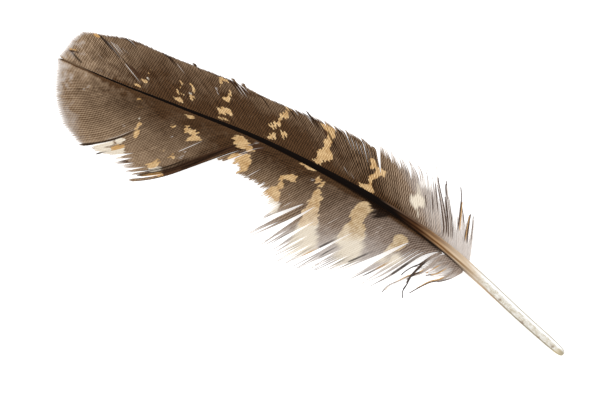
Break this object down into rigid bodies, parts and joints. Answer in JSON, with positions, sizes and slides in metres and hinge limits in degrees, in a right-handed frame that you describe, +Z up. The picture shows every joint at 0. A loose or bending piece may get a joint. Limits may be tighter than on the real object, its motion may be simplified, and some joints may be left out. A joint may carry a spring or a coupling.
{
  "type": "flight feather",
  "caption": "Nightjar flight feather lying flat: mottled brown vanes with buff bars on a curved shaft with a pale quill, the trailing vane notched and frayed towards its base.",
  "frame": {"origin": "centre of the footprint, on the surface the feather lies on", "axes": "+X towards the quill end, +Y towards the narrow leading vane, +Z up, away from the surface"},
  "size_m": [0.1213, 0.032, 0.004],
  "materials": {
    "horn": "satin",
    "leading_web": "matte",
    "trailing_web": "matte"
  },
  "bodies": {
    "root": {"shaft": "horn", "leading_vane": "leading_web", "trailing_vane": "trailing_web"}
  },
  "joints": []
}
